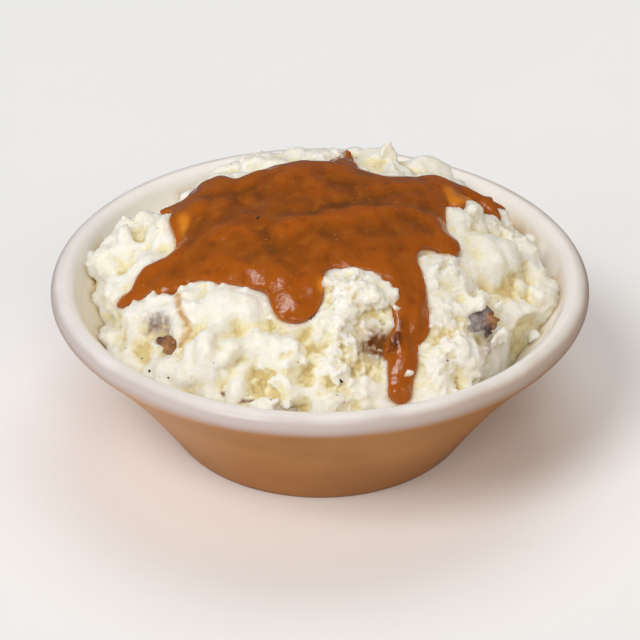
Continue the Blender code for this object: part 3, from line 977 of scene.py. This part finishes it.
def lumps_on(obj, kind, clear, strength, seed):
    """Moves the surface to the heights of broken lumps, where it is clear of the gravy."""
    spacing, height, steepness = np.array(kind) * (MM, MM, 1)
    chance = np.random.default_rng(seed)
    points = points_of(obj)
    seen = np.flatnonzero((clear > 0) & (points[:, 2] > LOWEST_SEEN))
    seeds = spaced(points[seen], spacing, chance)
    tilts = chance.normal(size=seeds.shape) * 0.6 * steepness
    bent = warped(points[seen], 1.3 * spacing, 0.09 * spacing, seed + 1)
    rise, away = broken(bent, seeds, tilts)
    dome = 1 - np.minimum(away / (0.62 * spacing), 1.3) ** 2
    lift = np.zeros(len(points))
    lift[seen] = np.clip(rise, -0.12 * spacing, 0.12 * spacing) + height * (dome - 0.6)
    move_points(obj, points + normals_of(obj) * (clear * strength * lift)[:, None])


def crumbliness(points):
    share = 0.35 + 0.22 * field(points, 16 * MM, 41)
    for x, y, reach, amount in TEXTURE.values():
        share += amount * fade(np.hypot(points[:, 0] - x * MM, points[:, 1] - y * MM), reach * MM)
    return np.clip(share, 0, 1.2)


def crumbs_on(obj, under):
    chance = np.random.default_rng(SEED)
    places, normals = scattered(obj, CRUMB_TRIES, chance)
    wanted = (places[:, 2] > LOWEST_SEEN) & (normals[:, 2] > -0.3)
    wanted &= chance.random(len(places)) < 0.5 * crumbliness(places) ** 2
    places, normals = places[wanted], normals[wanted]
    clear = distance_out_of(under, places, 4 * MM) > CRUMB_CLEARANCE
    places, normals = places[clear][:CRUMBS], normals[clear][:CRUMBS]
    low, high = CRUMB_RADII
    radii = MM * low * (high / low) ** (chance.random(len(places)) ** 1.4)
    sunk = chance.uniform(0.15, 0.9, len(places)) * radii
    return balls("crumbs", places - normals * sunk[:, None], radii, chance, 0.3)


def crumbs_by_the_gravy(obj, under):
    """Small crumbs, in patches, that stand against the gravy's edge."""
    chance = np.random.default_rng(SEED + 6)
    places, normals = scattered(obj, EDGE_CRUMB_TRIES, chance)
    wanted = (places[:, 2] > EDGE_CRUMBS_LOWEST) & (field(places, 7 * MM, 61) > 0.1)
    wanted &= near(places, *SMOOTH_EDGE) < 0.4
    places, normals = places[wanted], normals[wanted]
    away = distance_out_of(under, places, 2 * MM)
    low, high = EDGE_CRUMB_BAND
    close = (away > low) & (away < high)
    places, normals = places[close][:EDGE_CRUMBS], normals[close][:EDGE_CRUMBS]
    radii = MM * chance.uniform(*EDGE_CRUMB_RADII, len(places))
    return balls("edge_crumbs", places + normals * 0.3 * radii[:, None], radii, chance, 0.3)


def ragged_crumbs():
    chance = np.random.default_rng(SEED + 3)
    places, radii = [], []
    for count, largest, course in RAGGED.values():
        course = np.array(course) * MM
        along = chance.uniform(0, len(course) - 1, count)
        first = along.astype(int)
        share = (along - first)[:, None]
        places.append((1 - share) * course[first] + share * course[first + 1])
        radii.append(MM * chance.uniform(LEAST_RAGGED, largest, count))
    radii = np.concatenate(radii)
    scatter = chance.normal(size=(len(radii), 3)) * 0.45 * radii[:, None]
    places = np.concatenate(places) + scatter + (0, 0, -0.2 * MM)
    seen, seen_radii = in_metres(SEEN_CRUMBS)
    places, radii = np.concatenate([places, seen]), np.concatenate([radii, seen_radii])
    return balls("ragged_crumbs", places, radii, chance, 0.3)


def hem_along_the_wall(mash, middle=0, reach=180):
    """Balls in the corner under the mash that leans over the wall, up to a reach from an angle."""
    tree = tree_of(mash)
    places = []
    for angle in np.radians(np.arange(middle - reach, middle + reach, HEM_TURN)):
        outwards = np.array((math.cos(angle), math.sin(angle), 0))
        for height in HEM_HEIGHTS:
            on_wall = inner_radius(height) * outwards + (0, 0, height)
            touching = tree.find_nearest(Vector(on_wall), HEM_TOUCH)[0] is not None
            if touching or covers(tree, Vector(on_wall - HEM_INSET * outwards)):
                places.append(on_wall - 0.8 * HEM_RADIUS * outwards - (0, 0, 0.3 * HEM_RADIUS))
            if touching:
                break
    chance = np.random.default_rng(SEED + 5)
    return balls("hem", np.array(places), np.full(len(places), HEM_RADIUS), chance, 0.2)


def stood_back(points):
    """The points, those at the front right moved in, so that the mash meets the wall lower."""
    angle = np.degrees(np.arctan2(points[:, 1], points[:, 0]))
    share = np.exp(-(((angle - STAND_BACK_TURN) / STAND_BACK_REACH) ** 4))
    rise = np.maximum(0, points[:, 2] - STAND_BACK_HEIGHT)
    heights = np.linspace(0, top_of_bowl, 200)
    wall = np.interp(points[:, 2], heights, [inner_radius(height) for height in heights])
    radius = np.maximum(np.hypot(points[:, 0], points[:, 1]), MM)
    most = wall + WALL_OVERLAP - share * np.minimum(rise, STAND_BACK_MOST)
    free = points[:, 2] > FREE_HEIGHT
    most[free] += FREE_REACH * (1 - share[free])
    return points * np.stack([np.minimum(1, most / radius)] * 2 + [np.ones(len(points))], 1)


def mash_core():
    """The solid, with the gravy's bed, the hem and the nuggets, as one smooth body."""
    bed = copy_of("gravy", "gravy_bed")
    move_points(bed, points_of(bed) - np.array((0, 0, GRAVY_BED)))
    core = copy_of("mash", "mash_copy")
    hem = hem_along_the_wall(core)
    nuggets = balls("nuggets", *in_metres(NUGGETS), np.random.default_rng(SEED), 0.2, 3)
    made = joined("lumpy_mash", [core, bed, hem, nuggets])
    remesh(made, CORE_VOXEL, CORE_SMOOTHING)
    points = stood_back(points_of(made))
    for x, y, z, reach, depth in DENTS.values():
        points[:, 2] -= depth * MM * near(points, x, y, z, reach)
    move_points(made, points)
    return made


def lumpy_mash(gravy):
    made = mash_core()
    foot = hem_along_the_wall(made, STAND_BACK_TURN, 2 * STAND_BACK_REACH)
    under = tree_of(gravy)
    clear = soft_step(distance_out_of(under, points_of(made), 4 * MM), 0.2 * MM, 2.5 * MM)
    lumps_on(made, BLOCKS, clear, 1, 101)
    lumps_on(made, CLODS, clear, 0.25 + 0.75 * crumbliness(points_of(made)), 201)

    crumbs = [crumbs_on(made, under), crumbs_by_the_gravy(made, under), ragged_crumbs()]
    made = joined("lumpy_mash", [made, foot, *crumbs])
    remesh(made, MASH_VOXEL, MASH_SMOOTHING)
    smooth_out(made, np.clip(1 - crumbliness(points_of(made)), 0, 0.8), 6)
    clear = soft_step(distance_out_of(under, points_of(made), 3 * MM), 0.1 * MM, 1 * MM)
    lumps_on(made, GRAINS, clear, crumbliness(points_of(made)), 301)
    points = points_of(made)
    fine = clear * waves(points, MASH_WAVES)
    move_points(made, points + normals_of(made) * fine[:, None])
    count = sum(len(polygon.vertices) - 2 for polygon in made.data.polygons)
    modify(made, "DECIMATE", ratio=min(1, MASH_TRIANGLES / count), use_collapse_triangulate=True)
    bake(made)
    mark_mash(made, under)
    dress(made, mash_material())
    return made


def mark_mash(made, under):
    """Stores the painted shade, yellow in the hollows and by the wall, and how much gravy, skin or the
    knob's painted shadow has tinted it.
    """
    points = points_of(made)
    # Painted shade, stronger the deeper the hollow
    hollow_shade = sum(weight * hollowness(made, rounds) / depth for rounds, depth, weight in HOLLOW_SHADES)
    set_attribute(made, "hollow_shade", hollow_shade)
    room = np.array([inner_radius(z) for z in points[:, 2]]) - np.hypot(points[:, 0], points[:, 1])
    yellow_shade = marked(points, YELLOW_SHADE) + WALL_YELLOW_SHADE * fade(room, WALL_SHADE_REACH)
    set_attribute(made, "yellow_shade", yellow_shade)
    away = distance_to(under, points, 4 * MM)
    patchy = soft_step(field(points, 9 * MM, 72), -0.6, 0.9)
    soaked = (0.3 + 0.6 * patchy) * fade(away, SOAKED_REACH)
    trickle = distance_to_course(points, TRICKLE) / MM + 0.25 * field(points, 1.8 * MM, 73)
    trickle = TRICKLE_STRENGTH * fade(np.maximum(trickle, 0), 1)
    set_attribute(made, "soaked", np.maximum(soaked, trickle))
    # Gravy stains, and the knob's painted shadow
    stain_and_shadow = marked(points, STAINS_AND_SHADOW)
    for width, course in SKIN_LINES.values():
        course = onto(tree_of(made), np.array(course) * MM) / MM
        stain_and_shadow += fade(distance_to_course(points, course), width * MM)
    set_attribute(made, "stain_and_shadow", np.clip(stain_and_shadow * (1 + 0.3 * field(points, 2 * MM, 74)), 0, 1))
    patchy = np.clip(0.65 + 0.55 * field(points, 1.8 * MM, 71), 0, 1.3)
    set_attribute(made, "skin_tint", marked(points, SKIN_TINTS) * patchy)


# Skins

# Where a skin is brown
BROWN_SKIN = {"left": (-42, -34, 44.5, 6), "right": (47.7, -29.3, 50.3, 3.1)}

# Where a skin is darker
DARK_SKIN = {"left": (-43.6, -32.5, 46.5, 1.6), "right": (45.9, -32, 48.2, 2.3)}

# Further bits of the right skin
SKIN_BITS = {
    "left": (46.8, -29.4, 50.4, 1.5),
    "right": (47.8, -29.2, 50.6, 1.1),
    "below": (46, -31.6, 47.6, 1.5),
}


def skin_piece(node, material):
    made = copy_of(node, node + "_flake")
    if node == "skin_right":
        bits = balls("bits", *in_metres(SKIN_BITS), np.random.default_rng(SEED), 0.2)
        made = joined(made.name, [made, bits])
    remesh(made, SKIN_VOXEL, SKIN_SMOOTHING)
    points = points_of(made)
    move_points(made, points + normals_of(made) * waves(points, SKIN_WAVES)[:, None])
    points = points_of(made)
    set_attribute(made, "pale", np.full(len(points), float(node == "skin_front")))
    set_attribute(made, "brown", marked(points, BROWN_SKIN))
    set_attribute(made, "dark", marked(points, DARK_SKIN))
    dress(made, material)
    return made


# Pepper

# Flakes that stand out on the gravy and on the mash, and last how red
FLAKE_ON_GRAVY = (-17.1, -9.5, 70.8, 0.62, 0)
FLAKES_ON_MASH = {
    "front": (5.6, -55, 47, 0.55, 0.1),
    "left": (-46.8, -40.9, 41.5, 0.55, 0),
    "left above": (-48.6, -33.2, 39.8, 0.25, 0),
    "red front": (4.5, -58.1, 44, 0.28, 1),
    "red right": (34, -45.6, 47.4, 0.36, 1),
    "red under the tongue": (-2.7, -40.6, 58.3, 0.28, 0.9),
    "red left": (-41.1, -45.8, 42.1, 0.38, 1),
}


def pepper_flakes(mash, gravy):
    chance = np.random.default_rng(SEED + 1)
    on_mash, slopes = scattered(mash, PEPPER_TRIES[0], chance)
    wanted = (on_mash[:, 2] > PEPPER_LOWEST) & (slopes[:, 2] > 0.1)
    wanted &= distance_to(tree_of(gravy), on_mash, 3 * MM) > PEPPER_CLEARANCE
    on_mash = on_mash[wanted][:PEPPER_ON_MASH]
    on_gravy, slopes = scattered(gravy, PEPPER_TRIES[1], chance)
    on_gravy = on_gravy[slopes[:, 2] > 0.4][:PEPPER_ON_GRAVY]
    named = np.array([FLAKE_ON_GRAVY, *FLAKES_ON_MASH.values()])
    first, others = onto(tree_of(gravy), named[:1, :3] * MM), onto(tree_of(mash), named[1:, :3] * MM)
    places = np.concatenate([on_mash, on_gravy, first, others])
    strewn = len(on_mash) + len(on_gravy)
    radii = PEPPER_LEAST * PEPPER_SPREAD ** chance.random(strewn)
    radii = np.concatenate([radii, named[:, 3] * MM])
    red = np.concatenate([chance.random(strewn) ** 2, named[:, 4]])
    made = balls("ground_pepper", places, radii, chance, 0.3, 1)
    per_flake = len(made.data.vertices) // len(places)
    set_attribute(made, "red", np.repeat(red, per_flake))
    made.data.materials.append(pepper_material())
    return made


# The studio

FLOOR_HALF = 3  # metres
WORLD_STRENGTH = 0.13
FILL_AIM = (0, 0, 45 * MM)

# The far lights: azimuth, elevation and width in degrees, and strength
FAR_LIGHTS = {
    "key": (-130, 50, 24, 1.23),
    "second_key": (-82, 44, 20, 0.38),
}

# The soft lights: place and size in metres, power in watts, and the colour where it isn't white
FILL_LIGHTS = {
    "front": ((0, -1.25, 0.4), 0.9, 0.6),
    "front_above": ((0.15, -1, 0.8), 0.6, 1.4),
    "left": ((-1, -0.5, 0.25), 0.8, 4),
    "warm_right": ((0.9, -0.5, 0.6), 0.8, 1.8, (1, 0.72, 0.42)),
    "top": ((0.1, 0.5, 1.25), 1, 4.9),
}


def far_light(name, azimuth, elevation, width, strength):
    data = bpy.data.lights.new(name, "SUN")
    data.angle = math.radians(width)
    data.energy = strength
    made = link(name, data)
    made.rotation_euler = (0, math.radians(90 - elevation), math.radians(azimuth))


def fill_light(name, place, size, power, colour=(1, 1, 1)):
    """A soft light that shows in no reflection."""
    data = bpy.data.lights.new(name, "AREA")
    data.shape = "DISK"
    data.size = size
    data.energy = power
    data.color = colour
    made = link(name, data)
    made.visible_glossy = False
    made.location = place
    made.rotation_euler = (Vector(FILL_AIM) - Vector(place)).to_track_quat("-Z", "Y").to_euler()


def studio():
    corners = [(x * FLOOR_HALF, y * FLOOR_HALF, 0) for x, y in ((-1, -1), (1, -1), (1, 1), (-1, 1))]
    floor = link_faces("floor", corners, [(0, 1, 2, 3)])
    floor.data.materials.append(floor_material())
    floor.visible_glossy = False
    for name, row in FAR_LIGHTS.items():
        far_light(name, *row)
    for name, row in FILL_LIGHTS.items():
        fill_light(name, *row)
    world = bpy.data.worlds.new("studio")
    bpy.context.scene.world = world
    world.use_nodes = True
    back = world.node_tree.nodes["Background"]
    back.inputs["Color"].default_value = (1, 1, 1, 1)
    back.inputs["Strength"].default_value = WORLD_STRENGTH
    bpy.context.scene.view_settings.view_transform = "Standard"


def camera():
    data = bpy.data.cameras.new("camera")
    data.sensor_width = CAMERA_SENSOR
    data.lens = CAMERA_LENS
    data.clip_start = CAMERA_NEAREST
    made = link("camera", data)
    tilt = math.radians(CAMERA_ELEVATION)
    height = CAMERA_AIM + CAMERA_DISTANCE * math.sin(tilt)
    made.location = (0, -CAMERA_DISTANCE * math.cos(tilt), height)
    made.rotation_euler = (math.pi / 2 - tilt, 0, 0)
    bpy.context.scene.camera = made


def add_piece(piece, slot, *nodes):
    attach(piece, "root")
    if nodes:
        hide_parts(*nodes)


for obj in list(bpy.data.objects):
    bpy.data.objects.remove(obj)
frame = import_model()
bowl_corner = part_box("bowl")[1]
rim_radius, top_of_bowl = round(bowl_corner.x, 4), round(bowl_corner.z, 4)  # to a tenth of a millimetre

camera()
studio()
bowl = glazed_bowl()
gravy = poured_gravy()
mash = lumpy_mash(gravy)
mark_film_and_shade(bowl, mash)
add_piece(bowl, "bowl", "bowl")
mark_gravy(gravy, mash)
add_piece(gravy, "gravy", "gravy")
add_piece(mash, "mash", "mash")
potato_skin = skin_material()
for node in ("skin_left", "skin_right", "skin_front"):
    add_piece(skin_piece(node, potato_skin), node, node)
add_piece(pepper_flakes(mash, gravy), "skin_right")
